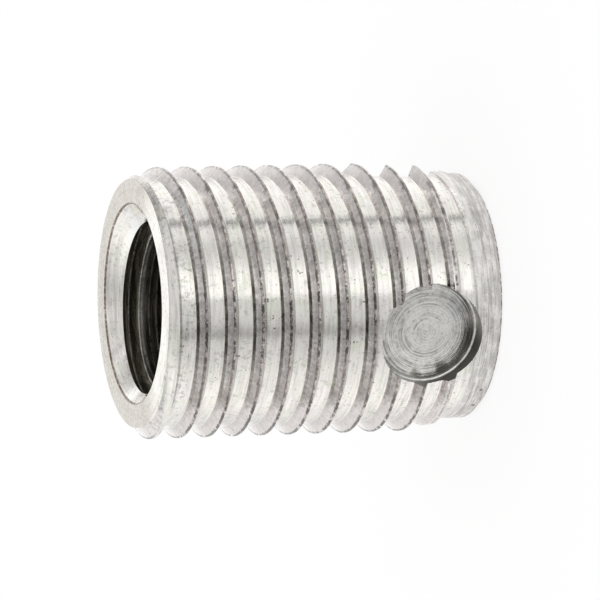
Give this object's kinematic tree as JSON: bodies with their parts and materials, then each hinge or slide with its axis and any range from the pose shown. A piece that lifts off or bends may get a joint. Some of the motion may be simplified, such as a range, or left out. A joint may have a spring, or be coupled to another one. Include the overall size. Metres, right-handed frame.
{
  "type": "threaded insert",
  "caption": "Self-tapping steel threaded insert with a right-hand outer thread, a countersunk through bore and blind round chip pockets near its leading end.",
  "frame": {"origin": "centre of the leading end's flat ring, on the axis of both threads", "axes": "+Z along the axis from the leading end to the countersunk mouth; -Y faces the first chip pocket"},
  "size_m": [0.014, 0.014, 0.018],
  "materials": {
    "steel": "bright turned steel with a thin silvery plating"
  },
  "bodies": {
    "root": {"insert_body": "steel"}
  },
  "joints": []
}
